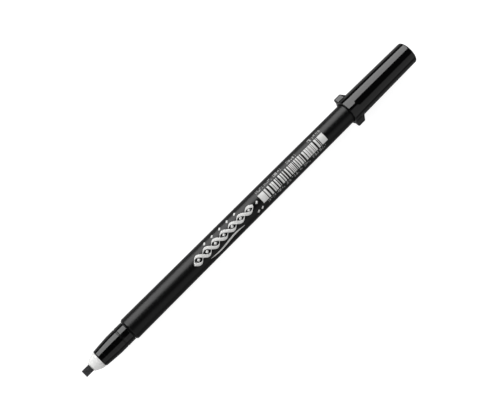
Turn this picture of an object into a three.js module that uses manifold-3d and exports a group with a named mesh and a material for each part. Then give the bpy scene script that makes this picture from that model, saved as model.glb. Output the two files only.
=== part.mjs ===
// Calligraphy marker: a fibre-reservoir pen with a flat chisel nib, lying on its side with its cap
// posted on the tail. Millimetres, +Z up. The pen's axis runs along +X from the nib to the cap, and
// the origin is midway between the two ends, on the surface that the pen lies on.
import * as THREE from "three";
import { mergeVertices } from "three/addons/utils/BufferGeometryUtils.js";
import Module from "manifold-3d";

const wasm = await Module();
wasm.setup();
const { Manifold, Mesh: ManifoldMesh } = wasm;

// ---- Driving dimensions ----
const LENGTH = 148; // nib edge to cap end, with the cap posted
const NIB_EXPOSED = 3; // nib standing out of its holder
const CONE_LENGTH = 3.65; // white cone of the nib holder
const SLEEVE_LENGTH = 12.35; // glossy front section in front of the barrel
const CAP_LENGTH = 29.6;
const POSTED_DEPTH = 8; // how deep the tail sits in the cap

const NIB_WIDTH = 2.5;
const NIB_THICKNESS = 1.2;
const SLEEVE_RADIUS = 3.48;
const BARREL_FRONT_RADIUS = 3.97;
const BARREL_LIP_RADIUS = 3.655; // barrel radius where the posted cap's lip sits
const CAP_COLLAR_RADIUS = 4.43; // cap radius just behind the winged collar
const CAP_END_RADIUS = 4.11;
const WING_REACH = 6; // from the axis to a wing's tip
const COLLAR_RADIUS = 4.75; // collar radius between the wings

const FIT_GAP = 0.05; // radial gap of pieces that are pressed or slid together
const END_GAP = 0.1; // gap of faces that meet end to end
const SEGMENTS = 40; // facets round the axis

// ---- Stations along the axis ----
const NIB_TIP_X = -LENGTH / 2;
const CONE_TIP_X = NIB_TIP_X + NIB_EXPOSED;
const SLEEVE_FRONT_X = CONE_TIP_X + CONE_LENGTH;
const BARREL_FRONT_X = SLEEVE_FRONT_X + SLEEVE_LENGTH;
const CAP_END_X = LENGTH / 2;
const LIP_X = CAP_END_X - CAP_LENGTH;
const TAIL_X = LIP_X + POSTED_DEPTH; // rear end of the tail plug
const AXIS_HEIGHT = COLLAR_RADIUS; // the collar's round belly rests on the surface

// ---- Barrel ----
const BARREL_CHAMFER = { length: 0.85, radius: 3.5, blend: 0.06 };
const BARREL_END_BEVEL = 0.15;
const PLUG_HEAD_LENGTH = 0.8;
const BARREL_REAR_X = TAIL_X - PLUG_HEAD_LENGTH - END_GAP;
const BARREL_TAPER = (BARREL_FRONT_RADIUS - BARREL_LIP_RADIUS) / (LIP_X - BARREL_FRONT_X);
const BARREL_REAR_RADIUS = BARREL_LIP_RADIUS - BARREL_TAPER * (BARREL_REAR_X - LIP_X);
const BORE_FRONT_RADIUS = 3.18;
const BORE_REAR_RADIUS = 2.98;
const BORE_RIBS = { count: 6, width: 0.5, inner: 2.54, start: -43, end: 38, root: 0.3 };

// ---- Front section ----
const SPIGOT_LENGTH = 11; // the part of the front section inside the barrel
const SPIGOT_LEAD_IN = { length: 0.6, depth: 0.4 };
const SLEEVE_BORE = 2.55;
// The sleeve's nose, as [distance behind its front face, radius].
const SLEEVE_NOSE = [
  [0, 2.92],
  [0.12, 3.12],
  [1.9, 3.33],
  [5, SLEEVE_RADIUS],
];
const SNAP_GROOVE = { x: -58, width: 0.4, depth: 0.12 };
const SNAP_BEAD = { x: -57.35, width: 0.7, height: 0.06 };

// ---- Nib holder ----
const CONE_BASE_RADIUS = 3;
const CONE_TIP_RADIUS = 1.4;
const CONE_CURVE = 1.55; // 1 is a straight cone, 2 a parabola
const CONE_STEPS = 8;
const HOLDER_SPIGOT_LENGTH = 9.5;
const HOLDER_LEAD_IN = { length: 0.5, depth: 0.4 };
const SLOT_CLEARANCE = 0.06;
const AIR_GROOVE = { width: 0.8, depth: 0.5, start: 1 };

// ---- Nib, reservoir and its film ----
const NIB_LENGTH = 28;
const NIB_TIP_BEVEL = 0.22;
const NIB_BEVEL_LENGTH = 0.8;
const NIB_EDGE_EASE = { length: 0.1, side: 0.07, face: 0.08, taper: 0.01 }; // broken writing edge
const NIB_WEDGE = { length: 2.5, width: 0.7, thickness: 0.5 }; // width and thickness as shares
const NIB_EDGE_CUT = 0.2;
const RESERVOIR = { front: -57.2, rear: 38, radius: 2.3, bevel: 0.2 };
const FILM_THICKNESS = 0.12;
const NIB_POCKET = { clearance: 0.06, spare: 0.2 };

// ---- Tail plug ----
const PLUG_SPIGOT_LENGTH = 7;
const PLUG_LEAD_IN = { length: 0.5, depth: 0.35 };
const PLUG_STEM = { radius: 1.6, end: 38.4 };
const PLUG_EDGE_ROUND = 0.4;
const PLUG_DIMPLE = { radius: 1.3, floor: 1.1, depth: 0.5 };

// ---- Cap and inner cap ----
const CAP_EDGE_ROUND = 0.45;
const CAP_WALL = 0.5;
const CAP_END_WALL = 1.2;
const CAP_MOUTH_CLEARANCE = 0.05;
const CAP_MOUTH_BEVEL = { length: 0.35, depth: 0.25 };
const CAP_STEP_X = TAIL_X + END_GAP; // where the mouth bore opens into the inner cap's seat
const CAP_STEP_LENGTH = 0.2;
const COLLAR_OVERLAP = 0.5; // the tube of the cap starts this far inside the collar
const WING_TIP_RADIUS = 1;
// Steps of the collar from its front face: distance behind the lip, then how far the belly and the
// wing tips stand below their full size.
const COLLAR_STEPS = [
  [0, 0.12, 0.35],
  [0.15, 0.03, 0.15],
  [0.45, 0, 0],
  [1.5, 0, 0],
  [2.6, 0.07, 0.25],
  [3, 0.12, 0.6],
  [3.7, 0.32, 1.38],
  [4.1, 0.42, 1.6],
];
const CAP_RIBS = { count: 4, width: 0.7, start: 66.6, inner: 2.4, rootLength: 0.3, rootDepth: 0.25 };
const INNER_CAP = { length: 13, endWall: 0.6, setBack: 0.3 };
const SEAL_BORE = 3.44; // a light squeeze on the front section
const INNER_CAP_MOUTH = { bevel: 0.08, bevelLength: 0.2, flare: 0.15 };
const INNER_CAP_END_ROUND = { length: 0.5, depth: 0.5 };
const SEAL_FLOOR_INSET = 0.15;
// The bore of the inner cap, as [distance behind its mouth, distance inside the seal bore].
const SEAL_STEPS = [
  [5, 0.1],
  [1.5, 0],
  [0.9, 0.06],
  [0.5, 0],
];

// ---- Materials ----
const material = (color, roughness) => new THREE.MeshStandardMaterial({ color, roughness, metalness: 0 });
const mattBlack = material(0x17171a, 0.5);
const glossBlack = material(0x0a0a0b, 0.12);
const whitePlastic = material(0xe9e9e6, 0.4);
const milkyPlastic = material(0xd9dcdc, 0.35);
const inkedFibre = material(0x252528, 0.95);
const reservoirFibre = material(0x1b1b20, 0.9);
const clearFilm = material(0xb9bec4, 0.2);

// ---- Shape helpers ----
const pen = new THREE.Group();
pen.position.z = AXIS_HEIGHT;

// A closed BufferGeometry, welded by position, as a manifold-3d solid.
function solid(geometry) {
  const bare = geometry.clone();
  bare.deleteAttribute("normal");
  bare.deleteAttribute("uv");
  const merged = mergeVertices(bare, 1e-4);
  const index = Array.from(merged.index.array);
  const triangles = [];
  for (let i = 0; i < index.length; i += 3) {
    const [a, b, c] = index.slice(i, i + 3);
    if (a !== b && b !== c && c !== a) triangles.push(a, b, c);
  }
  return new Manifold(new ManifoldMesh({
    numProp: 3,
    vertProperties: merged.attributes.position.array,
    triVerts: new Uint32Array(triangles),
  }));
}

// A manifold-3d solid back as a BufferGeometry.
function geometryOf(shape) {
  const mesh = shape.getMesh();
  const geometry = new THREE.BufferGeometry();
  geometry.setAttribute("position", new THREE.BufferAttribute(mesh.vertProperties, 3));
  geometry.setIndex(new THREE.BufferAttribute(mesh.triVerts, 1));
  geometry.computeVertexNormals();
  return geometry;
}

// A solid of revolution about the X axis. The outline is a list of [x, radius] that runs along the
// outside towards +X, and back along the inside if there is one.
function turned(outline, segments = SEGMENTS) {
  const points = outline.map(([x, radius]) => new THREE.Vector2(radius, x));
  const onAxis = points[0].x === 0 && points[points.length - 1].x === 0;
  if (!onAxis) points.push(points[0].clone());
  const lathe = new THREE.LatheGeometry(points, segments);
  lathe.rotateZ(-Math.PI / 2);
  return solid(lathe);
}

// A closed solid through rings of [y, z] points, each ring at its own x.
function lofted(rings) {
  const count = rings[0].points.length;
  const positions = [];
  const index = [];
  for (const { x, points } of rings) {
    for (const [y, z] of points) positions.push(x, y, z);
  }
  for (let ring = 0; ring < rings.length - 1; ring += 1) {
    for (let i = 0; i < count; i += 1) {
      const a = ring * count + i;
      const b = ring * count + ((i + 1) % count);
      index.push(a, b, a + count, b, b + count, a + count);
    }
  }
  const last = (rings.length - 1) * count;
  for (let i = 1; i < count - 1; i += 1) {
    index.push(0, i + 1, i, last, last + i, last + i + 1);
  }
  const geometry = new THREE.BufferGeometry();
  geometry.setAttribute("position", new THREE.Float32BufferAttribute(positions, 3));
  geometry.setIndex(index);
  return solid(geometry);
}

// A box between two corners.
function block([x0, y0, z0], [x1, y1, z1]) {
  const box = new THREE.BoxGeometry(x1 - x0, y1 - y0, z1 - z0);
  box.translate((x0 + x1) / 2, (y0 + y1) / 2, (z0 + z1) / 2);
  return solid(box);
}

// The same shape set round the X axis count times.
function aroundAxis(shape, count) {
  let joined = shape;
  for (let i = 1; i < count; i += 1) joined = joined.add(shape.rotate([(360 / count) * i, 0, 0]));
  return joined;
}

// Points [x, radius] along the quarter circle that turns an outside surface into an end face.
function roundedCorner(x, radius, reach, steps = 4) {
  return Array.from({ length: steps + 1 }, (_, i) => {
    const turn = (Math.PI / 2) * (i / steps);
    return [x - reach + reach * Math.sin(turn), radius - reach + reach * Math.cos(turn)];
  });
}

// The barrel's outside radius at a station.
const barrelRadius = (x) => BARREL_FRONT_RADIUS - BARREL_TAPER * (x - BARREL_FRONT_X);

// The cap's outside radius behind the collar at a station.
function capRadius(x) {
  const share = (x - LIP_X) / CAP_LENGTH;
  return CAP_COLLAR_RADIUS + (CAP_END_RADIUS - CAP_COLLAR_RADIUS) * share;
}

// Outline of the winged collar: the hull of a round middle and a small circle at each wing tip.
function wingedOutline(middle, reach) {
  const tip = Math.min(WING_TIP_RADIUS, middle * 0.95);
  const offset = Math.max(reach - tip, 0.01);
  const tangent = Math.acos(Math.min(1, (middle - tip) / offset));
  const arc = (centre, radius, from, to, steps) => Array.from({ length: steps + 1 }, (_, i) => {
    const angle = from + ((to - from) * i) / steps;
    return [centre + radius * Math.cos(angle), radius * Math.sin(angle)];
  });
  return [
    ...arc(offset, tip, -tangent, tangent, 6),
    ...arc(0, middle, tangent, Math.PI - tangent, 12),
    ...arc(-offset, tip, Math.PI - tangent, Math.PI + tangent, 6),
    ...arc(0, middle, Math.PI + tangent, 2 * Math.PI - tangent, 12),
  ];
}

function addPiece(name, shape, look) {
  const mesh = new THREE.Mesh(geometryOf(shape), look);
  mesh.name = name;
  pen.add(mesh);
}

// ---- Pieces ----
function barrel() {
  const ribStart = BORE_RIBS.start;
  const tube = turned([
    [BARREL_FRONT_X, BARREL_CHAMFER.radius],
    [BARREL_FRONT_X + BARREL_CHAMFER.length * 0.8, BARREL_FRONT_RADIUS - BARREL_CHAMFER.blend],
    [BARREL_FRONT_X + BARREL_CHAMFER.length, BARREL_FRONT_RADIUS],
    [LIP_X, BARREL_LIP_RADIUS],
    [BARREL_REAR_X - BARREL_END_BEVEL, BARREL_REAR_RADIUS],
    [BARREL_REAR_X, BARREL_REAR_RADIUS - BARREL_END_BEVEL],
    [BARREL_REAR_X, BORE_REAR_RADIUS],
    [BORE_RIBS.end, BORE_REAR_RADIUS],
    [ribStart, BORE_FRONT_RADIUS],
    [BARREL_FRONT_X, BORE_FRONT_RADIUS],
  ]);
  const rib = block(
    [ribStart, BORE_RIBS.inner, -BORE_RIBS.width / 2],
    [BORE_RIBS.end, BORE_REAR_RADIUS + BORE_RIBS.root, BORE_RIBS.width / 2],
  );
  return tube.add(aroundAxis(rib, BORE_RIBS.count));
}

function tailPlug() {
  const headX = TAIL_X - PLUG_HEAD_LENGTH;
  const spigot = BORE_REAR_RADIUS - FIT_GAP;
  const frontX = headX - PLUG_SPIGOT_LENGTH;
  const head = BARREL_REAR_RADIUS - FIT_GAP;
  return turned([
    [PLUG_STEM.end, 0],
    [PLUG_STEM.end, PLUG_STEM.radius],
    [frontX, PLUG_STEM.radius],
    [frontX, spigot - PLUG_LEAD_IN.depth],
    [frontX + PLUG_LEAD_IN.length, spigot],
    [headX, spigot],
    [headX, head],
    ...roundedCorner(TAIL_X, head, PLUG_EDGE_ROUND),
    [TAIL_X, PLUG_DIMPLE.radius],
    [TAIL_X - PLUG_DIMPLE.depth, PLUG_DIMPLE.floor],
    [TAIL_X - PLUG_DIMPLE.depth, 0],
  ]);
}

function frontSection() {
  const shoulderX = BARREL_FRONT_X - END_GAP;
  const spigotEnd = BARREL_FRONT_X + SPIGOT_LENGTH;
  const spigot = BORE_FRONT_RADIUS - FIT_GAP;
  return turned([
    ...SLEEVE_NOSE.map(([behind, radius]) => [SLEEVE_FRONT_X + behind, radius]),
    [SNAP_GROOVE.x - SNAP_GROOVE.width / 2, SLEEVE_RADIUS],
    [SNAP_GROOVE.x - SNAP_GROOVE.width / 4, SLEEVE_RADIUS - SNAP_GROOVE.depth],
    [SNAP_GROOVE.x + SNAP_GROOVE.width / 4, SLEEVE_RADIUS - SNAP_GROOVE.depth],
    [SNAP_GROOVE.x + SNAP_GROOVE.width / 2, SLEEVE_RADIUS],
    [SNAP_BEAD.x, SLEEVE_RADIUS + SNAP_BEAD.height],
    [SNAP_BEAD.x + SNAP_BEAD.width / 2, SLEEVE_RADIUS],
    [shoulderX, SLEEVE_RADIUS],
    [shoulderX, spigot],
    [spigotEnd - SPIGOT_LEAD_IN.length, spigot],
    [spigotEnd, spigot - SPIGOT_LEAD_IN.depth],
    [spigotEnd, SLEEVE_BORE],
    [SLEEVE_FRONT_X, SLEEVE_BORE],
  ]);
}

function nibHolder() {
  const baseX = SLEEVE_FRONT_X - END_GAP;
  const spigot = SLEEVE_BORE - FIT_GAP;
  const rearX = SLEEVE_FRONT_X + HOLDER_SPIGOT_LENGTH;
  const cone = Array.from({ length: CONE_STEPS + 1 }, (_, i) => {
    const share = i / CONE_STEPS;
    const swell = 1 - (1 - share) ** CONE_CURVE;
    return [
      CONE_TIP_X + (baseX - CONE_TIP_X) * share,
      CONE_TIP_RADIUS + (CONE_BASE_RADIUS - CONE_TIP_RADIUS) * swell,
    ];
  });
  const body = turned([
    [CONE_TIP_X, 0],
    ...cone,
    [baseX, spigot],
    [rearX - HOLDER_LEAD_IN.length, spigot],
    [rearX, spigot - HOLDER_LEAD_IN.depth],
    [rearX, 0],
  ]);
  const halfWidth = NIB_WIDTH / 2 + SLOT_CLEARANCE;
  const halfThickness = NIB_THICKNESS / 2 + SLOT_CLEARANCE;
  const slot = block([CONE_TIP_X - 1, -halfWidth, -halfThickness], [rearX + 1, halfWidth, halfThickness]);
  const groove = block(
    [SLEEVE_FRONT_X + AIR_GROOVE.start, -AIR_GROOVE.width / 2, spigot - AIR_GROOVE.depth],
    [rearX + 1, AIR_GROOVE.width / 2, spigot + 1],
  );
  return body.subtract(slot).subtract(aroundAxis(groove, 2));
}

// Outline of a flat bar with its four long edges cut off at 45 degrees.
function barOutline(width, thickness) {
  const y = width / 2;
  const z = thickness / 2;
  const cut = Math.min(NIB_EDGE_CUT, thickness * 0.3);
  return [
    [y - cut, z],
    [-y + cut, z],
    [-y, z - cut],
    [-y, -z + cut],
    [-y + cut, -z],
    [y - cut, -z],
    [y, -z + cut],
    [y, z - cut],
  ];
}

// A flat bar of fibre with a bevelled writing edge and a wedge at its inner end.
function chiselNib() {
  const rearX = NIB_TIP_X + NIB_LENGTH;
  const bevelled = NIB_THICKNESS - 2 * NIB_TIP_BEVEL;
  const eased = bevelled + 2 * NIB_EDGE_EASE.face;
  const tipWidth = NIB_WIDTH - 2 * NIB_EDGE_EASE.taper;
  return lofted([
    { x: NIB_TIP_X, points: barOutline(tipWidth - 2 * NIB_EDGE_EASE.side, bevelled) },
    { x: NIB_TIP_X + NIB_EDGE_EASE.length, points: barOutline(tipWidth, eased) },
    { x: NIB_TIP_X + NIB_BEVEL_LENGTH, points: barOutline(NIB_WIDTH, NIB_THICKNESS) },
    { x: rearX - NIB_WEDGE.length, points: barOutline(NIB_WIDTH, NIB_THICKNESS) },
    { x: rearX, points: barOutline(NIB_WIDTH * NIB_WEDGE.width, NIB_THICKNESS * NIB_WEDGE.thickness) },
  ]);
}

function inkReservoir() {
  const { front, rear, radius, bevel } = RESERVOIR;
  const rod = turned([
    [front, 0],
    [front, radius - bevel],
    [front + bevel, radius],
    [rear - bevel, radius],
    [rear, radius - bevel],
    [rear, 0],
  ]);
  const halfWidth = NIB_WIDTH / 2 + NIB_POCKET.clearance;
  const halfThickness = NIB_THICKNESS / 2 + NIB_POCKET.clearance;
  const pocketEnd = NIB_TIP_X + NIB_LENGTH + NIB_POCKET.spare;
  return rod.subtract(block([front - 1, -halfWidth, -halfThickness], [pocketEnd, halfWidth, halfThickness]));
}

function reservoirFilm() {
  const inner = RESERVOIR.radius + FIT_GAP;
  const outer = inner + FILM_THICKNESS;
  return turned([
    [RESERVOIR.front, outer],
    [RESERVOIR.rear, outer],
    [RESERVOIR.rear, inner],
    [RESERVOIR.front, inner],
  ]);
}

function capShell() {
  const endInside = CAP_END_X - CAP_END_WALL;
  const mouth = barrelRadius(LIP_X) + CAP_MOUTH_CLEARANCE;
  const mouthEnd = barrelRadius(CAP_STEP_X) + CAP_MOUTH_CLEARANCE;
  const seat = capRadius(CAP_STEP_X) - CAP_WALL;
  const seatEnd = capRadius(endInside) - CAP_WALL;
  const endRadius = capRadius(CAP_END_X);
  const tubeX = LIP_X + COLLAR_OVERLAP;
  const outside = turned([
    [tubeX, 0],
    [tubeX, capRadius(tubeX)],
    ...roundedCorner(CAP_END_X, endRadius, CAP_EDGE_ROUND),
    [CAP_END_X, 0],
  ]);
  const inside = turned([
    [LIP_X - 1, 0],
    [LIP_X - 1, mouth + CAP_MOUTH_BEVEL.depth],
    [LIP_X, mouth + CAP_MOUTH_BEVEL.depth],
    [LIP_X + CAP_MOUTH_BEVEL.length, mouth],
    [CAP_STEP_X, mouthEnd],
    [CAP_STEP_X + CAP_STEP_LENGTH, seat],
    [endInside, seatEnd],
    [endInside, 0],
  ]);
  const rib = block(
    [CAP_RIBS.start, CAP_RIBS.inner, -CAP_RIBS.width / 2],
    [endInside + CAP_RIBS.rootLength, seatEnd + CAP_RIBS.rootDepth, CAP_RIBS.width / 2],
  );
  return outside.add(collar()).subtract(inside).add(aroundAxis(rib, CAP_RIBS.count));
}

// The winged collar at the cap's lip, which stops the pen rolling.
function collar() {
  return lofted(COLLAR_STEPS.map(([behindLip, belowBelly, belowTip]) => ({
    x: LIP_X + behindLip,
    points: wingedOutline(COLLAR_RADIUS - belowBelly, WING_REACH - belowTip),
  })));
}

function innerCap() {
  const frontX = CAP_STEP_X + INNER_CAP.setBack;
  const rearX = frontX + INNER_CAP.length;
  const floorX = rearX - INNER_CAP.endWall;
  const outer = (x) => capRadius(x) - CAP_WALL - FIT_GAP;
  const bevelX = frontX + INNER_CAP_MOUTH.bevelLength;
  const roundX = rearX - INNER_CAP_END_ROUND.length;
  return turned([
    [frontX, outer(frontX) - INNER_CAP_MOUTH.bevel],
    [bevelX, outer(bevelX)],
    [roundX, outer(roundX)],
    [rearX, outer(rearX) - INNER_CAP_END_ROUND.depth],
    [rearX, 0],
    [floorX, 0],
    [floorX, SEAL_BORE - INNER_CAP.endWall],
    [floorX - INNER_CAP.endWall, SEAL_BORE - SEAL_FLOOR_INSET],
    ...SEAL_STEPS.map(([behindMouth, inside]) => [frontX + behindMouth, SEAL_BORE - inside]),
    [frontX, SEAL_BORE + INNER_CAP_MOUTH.flare],
  ]);
}

addPiece("barrel", barrel(), mattBlack);
addPiece("tail_plug", tailPlug(), mattBlack);
addPiece("front_section", frontSection(), glossBlack);
addPiece("nib_holder", nibHolder(), whitePlastic);
addPiece("chisel_nib", chiselNib(), inkedFibre);
addPiece("ink_reservoir", inkReservoir(), reservoirFibre);
addPiece("reservoir_film", reservoirFilm(), clearFilm);
addPiece("cap_shell", capShell(), glossBlack);
addPiece("inner_cap", innerCap(), milkyPlastic);

export default pen;
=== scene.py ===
"""Calligraphy marker: a chisel-nib fibre pen with its cap posted on the tail.

The fine pieces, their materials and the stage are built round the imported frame. The pen's axis runs
along +X, from the nib to the cap. Outlines are written in millimetres, meshes are in metres.
"""

import functools
import math

import bmesh
import bpy
from bpy.props import FloatProperty, FloatVectorProperty, IntProperty, PointerProperty
from mathutils import Matrix, Vector, noise


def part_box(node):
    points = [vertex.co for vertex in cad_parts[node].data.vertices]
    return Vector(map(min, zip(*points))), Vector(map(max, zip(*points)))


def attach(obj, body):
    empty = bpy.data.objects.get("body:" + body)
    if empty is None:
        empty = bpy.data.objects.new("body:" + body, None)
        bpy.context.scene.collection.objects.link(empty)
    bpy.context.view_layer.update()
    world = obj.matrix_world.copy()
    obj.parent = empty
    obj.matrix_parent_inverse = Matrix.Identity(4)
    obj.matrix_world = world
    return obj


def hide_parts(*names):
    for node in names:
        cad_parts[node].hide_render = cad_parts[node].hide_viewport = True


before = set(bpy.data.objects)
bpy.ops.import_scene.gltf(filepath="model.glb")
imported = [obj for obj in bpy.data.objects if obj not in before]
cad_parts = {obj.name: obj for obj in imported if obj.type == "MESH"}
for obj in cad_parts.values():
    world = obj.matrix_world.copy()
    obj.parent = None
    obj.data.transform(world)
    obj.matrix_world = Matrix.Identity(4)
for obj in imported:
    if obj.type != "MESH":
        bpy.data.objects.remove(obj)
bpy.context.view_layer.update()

bl_info = {
    "name": "Calligraphy marker",
    "version": (1, 0, 0),
    "blender": (4, 5, 0),
    "location": "3D View > Sidebar > Marker",
    "description": "Builds a chisel-nib calligraphy marker with its cap posted on the tail",
    "category": "Object",
}

MM = 0.001

# ---- Stations and radii taken from the frame, in millimetres ----


def span(node):
    """Where a CAD node starts and ends along the pen's axis."""
    low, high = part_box(node)
    return low.x / MM, high.x / MM


def widest(node):
    """Half of a CAD node's height, which is its largest radius."""
    low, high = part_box(node)
    return (high.z - low.z) / 2 / MM


AXIS_Z = (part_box("barrel")[0].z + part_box("barrel")[1].z) / 2 / MM


def radius_near(node, station, inner=False):
    """A CAD node's outer or inner radius on its ring of points nearest to a station."""
    points = [vertex.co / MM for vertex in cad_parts[node].data.vertices]
    off_axis = [(p.x, math.hypot(p.y, p.z - AXIS_Z)) for p in points]
    ring_x = min((x for x, radius in off_axis if radius > 0.5), key=lambda x: abs(x - station))
    radii = [radius for x, radius in off_axis if abs(x - ring_x) < 0.01 and radius > 0.5]
    return min(radii) if inner else max(radii)


NIB_TIP, NIB_REAR = span("chisel_nib")
CONE_TIP, HOLDER_REAR = span("nib_holder")
SLEEVE_FRONT, SLEEVE_REAR = span("front_section")
BARREL_FRONT, BARREL_REAR = span("barrel")
PLUG_FRONT, PLUG_REAR = span("tail_plug")
CAP_LIP, CAP_END = span("cap_shell")
LINER_FRONT, LINER_REAR = span("inner_cap")

BARREL_RADIUS = widest("barrel")
BARREL_TAIL_RADIUS = radius_near("barrel", BARREL_REAR - 0.2)
TAPER = (BARREL_RADIUS - BARREL_TAIL_RADIUS) / (BARREL_REAR - BARREL_FRONT - 1)
BORE_FRONT = radius_near("barrel", BARREL_FRONT, inner=True)
BORE_REAR = radius_near("barrel", BARREL_REAR, inner=True)
SLEEVE_RADIUS = radius_near("front_section", SLEEVE_FRONT + 8)
NOSE_TRIM = 0.12  # how much slimmer the sleeve's nose is drawn than its CAD solid
CONE_TRIM = 0.07  # and the nib holder's cone
SLEEVE_NOSE = radius_near("front_section", SLEEVE_FRONT + 0.12) - NOSE_TRIM
SLEEVE_BORE = radius_near("front_section", SLEEVE_FRONT, inner=True)
CONE_RADIUS = widest("nib_holder") - CONE_TRIM
CAP_BELLY = widest("cap_shell")
WING_REACH = (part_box("cap_shell")[1].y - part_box("cap_shell")[0].y) / 2 / MM
CAP_END_RADIUS = radius_near("cap_shell", CAP_END - 0.45)
CAP_NECK_RADIUS = 4.42
CAP_NECK = CAP_LIP + 4.3
SHOULDER = BARREL_FRONT + 0.6  # where the barrel reaches its full radius
CREST_HEIGHT = 0.2  # low ridge on top of the collar
CREST_HALF_WIDTH = 1.5
WING_HALF_HEIGHT = 1.4
WING_SQUARENESS = 2.6  # 2 is an ellipse, more is boxier
FIT = 0.05  # clearance round a piece that sits inside another
GAP = 0.1  # gap between faces that meet end to end


# ---- Mesh helpers ----

EDGE_FADE = 0.15  # how far the wear of an edge reaches past its arc, in millimetres
WELD = 0.0002  # points closer than this become one, in millimetres
POLE = 1e-6  # a ring smaller than this is one point on the axis
CORNER_STEPS = 6  # steps in each rounded corner of a bar


def rounded(outline, closed, steps=7):
    """Points of an outline of (x, radius, rounding), each corner turned into an arc of that rounding.

    Returns (x, radius, edge) with edge 1 on the arcs, where handling wears the surface.
    """
    made = []
    count = len(outline)
    for i, (x, radius, rounding) in enumerate(outline):
        here = Vector((x, radius))
        at_end = not closed and i in (0, count - 1)
        if rounding == 0 or at_end:
            made.append((x, radius, 0.0))
            continue
        before = Vector(outline[i - 1][:2]) - here
        after = Vector(outline[(i + 1) % count][:2]) - here
        corner = before.angle(after)
        reach = min(rounding / math.tan(corner / 2), before.length * 0.49, after.length * 0.49)
        bend = reach * math.tan(corner / 2)
        centre = here + (before.normalized() + after.normalized()).normalized() * bend / math.sin(corner / 2)
        first = here + before.normalized() * reach - centre
        last = here + after.normalized() * reach - centre
        turn = first.angle_signed(last)
        run_in = here + before.normalized() * min(reach + EDGE_FADE, before.length * 0.5)
        run_out = here + after.normalized() * min(reach + EDGE_FADE, after.length * 0.5)
        made.append((run_in.x, run_in.y, 0.0))
        for step in range(steps + 1):
            point = centre + Matrix.Rotation(-turn * step / steps, 2) @ first
            made.append((point.x, point.y, 1.0))
        made.append((run_out.x, run_out.y, 0.0))
    return made


def finished_mesh(name, points, faces, edges=None, sharp=32):
    """A smooth-shaded object in the scene, from points in millimetres, with its faces outwards."""
    mesh = bpy.data.meshes.new(name)
    mesh.from_pydata([Vector(point) * MM for point in points], [], faces)
    if edges:
        mesh.attributes.new("edge", "FLOAT", "POINT").data.foreach_set("value", edges)
    outwards(mesh)
    mesh.shade_smooth()
    mesh.set_sharp_from_angle(angle=math.radians(sharp))
    return in_scene(name, mesh)


def in_scene(name, data):
    """A new object in the scene."""
    made = bpy.data.objects.new(name, data)
    bpy.context.scene.collection.objects.link(made)
    return made


def outwards(mesh):
    """Welds doubled points and turns every face of a closed mesh outwards."""
    work = bmesh.new()
    work.from_mesh(mesh)
    bmesh.ops.remove_doubles(work, verts=work.verts, dist=WELD * MM)
    bmesh.ops.recalc_face_normals(work, faces=work.faces)
    work.to_mesh(mesh)
    work.free()


def turned(name, outline, closed=False, segments=160, sharp=32):
    """A solid of revolution about the pen's axis; an open outline starts and ends on the axis."""
    turns = [math.tau * i / segments for i in range(segments)]
    shells = [
        (x, [(radius * math.cos(turn), radius * math.sin(turn)) for turn in turns], edge)
        for x, radius, edge in rounded(outline, closed)
    ]
    points, edges, rings = skin(shells)
    return finished_mesh(name, points, bridged(rings, closed), edges, sharp)


def skin(shells):
    """Points, their wear and the rings of point numbers of a row of (x, ring of (y, z), edge)."""
    points, edges, rings = [], [], []
    for x, ring, edge in shells:
        if abs(ring[0][0]) < POLE:
            rings.append([len(points)] * len(ring))
            ring = [(0, 0)]
        else:
            rings.append(list(range(len(points), len(points) + len(ring))))
        points += [(x, y, AXIS_Z + z) for y, z in ring]
        edges += [float(edge)] * len(ring)
    return points, edges, rings


def bridged(rings, closed=False):
    """Faces between each ring of point numbers and the next; a ring of one repeated point is a pole."""
    faces = []
    pairs = list(zip(rings, rings[1:]))
    if closed:
        pairs.append((rings[-1], rings[0]))
    for one, other in pairs:
        for i in range(len(one)):
            j = (i + 1) % len(one)
            corners = [one[i], one[j], other[j], other[i]]
            faces.append(list(dict.fromkeys(corners)))
    return faces


def cut(piece, cutter):
    """Subtracts one closed object from another and removes the cutter."""
    modifier = piece.modifiers.new("cut", "BOOLEAN")
    modifier.operation = "DIFFERENCE"
    modifier.solver = "EXACT"
    modifier.object = cutter
    keep_result(piece)
    bpy.data.objects.remove(cutter)


def evaluated_mesh(piece):
    """A mesh of what an object's modifiers make of it."""
    graph = bpy.context.evaluated_depsgraph_get()
    return bpy.data.meshes.new_from_object(piece.evaluated_get(graph))


def keep_result(piece):
    """Replaces an object's mesh by what its modifiers make of it, and removes them."""
    made = evaluated_mesh(piece)
    piece.modifiers.clear()
    piece.data = made


def bar_section(width, thickness, rounding):
    """Points of a rectangle with rounded corners, centred on the axis."""
    points = []
    for corner in range(4):
        across = width / 2 - rounding if corner in (0, 3) else rounding - width / 2
        upward = thickness / 2 - rounding if corner in (0, 1) else rounding - thickness / 2
        for step in range(CORNER_STEPS + 1):
            angle = math.pi / 2 * (corner + step / CORNER_STEPS)
            points.append((across + rounding * math.cos(angle), upward + rounding * math.sin(angle)))
    return points


# ---- Node helpers ----


def fill(tree, node, inputs):
    """Sets a node's inputs, each to a value or to another node's output."""
    for key, value in inputs.items():
        if isinstance(value, bpy.types.NodeSocket):
            tree.links.new(value, node.inputs[key])
        else:
            node.inputs[key].default_value = value


def add(tree, kind, inputs=None, **settings):
    """A node with its settings and its inputs."""
    node = tree.nodes.new(kind)
    for key, value in settings.items():
        setattr(node, key, value)
    fill(tree, node, inputs or {})
    return node


def math_node(tree, operation, *values):
    """The result of a Math node."""
    return add(tree, "ShaderNodeMath", dict(enumerate(values)), operation=operation).outputs[0]


def per(size):
    """Texture scale at which a pattern's features are about this many millimetres across."""
    return 1 / (size * MM)


def new_material(name):
    """A material with a Principled shader, and the object coordinates of its piece."""
    material = bpy.data.materials.new(name)
    material.use_nodes = True
    tree = material.node_tree
    shader = tree.nodes["Principled BSDF"]
    place = add(tree, "ShaderNodeTexCoord").outputs["Object"]
    return material, tree, shader, place


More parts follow.
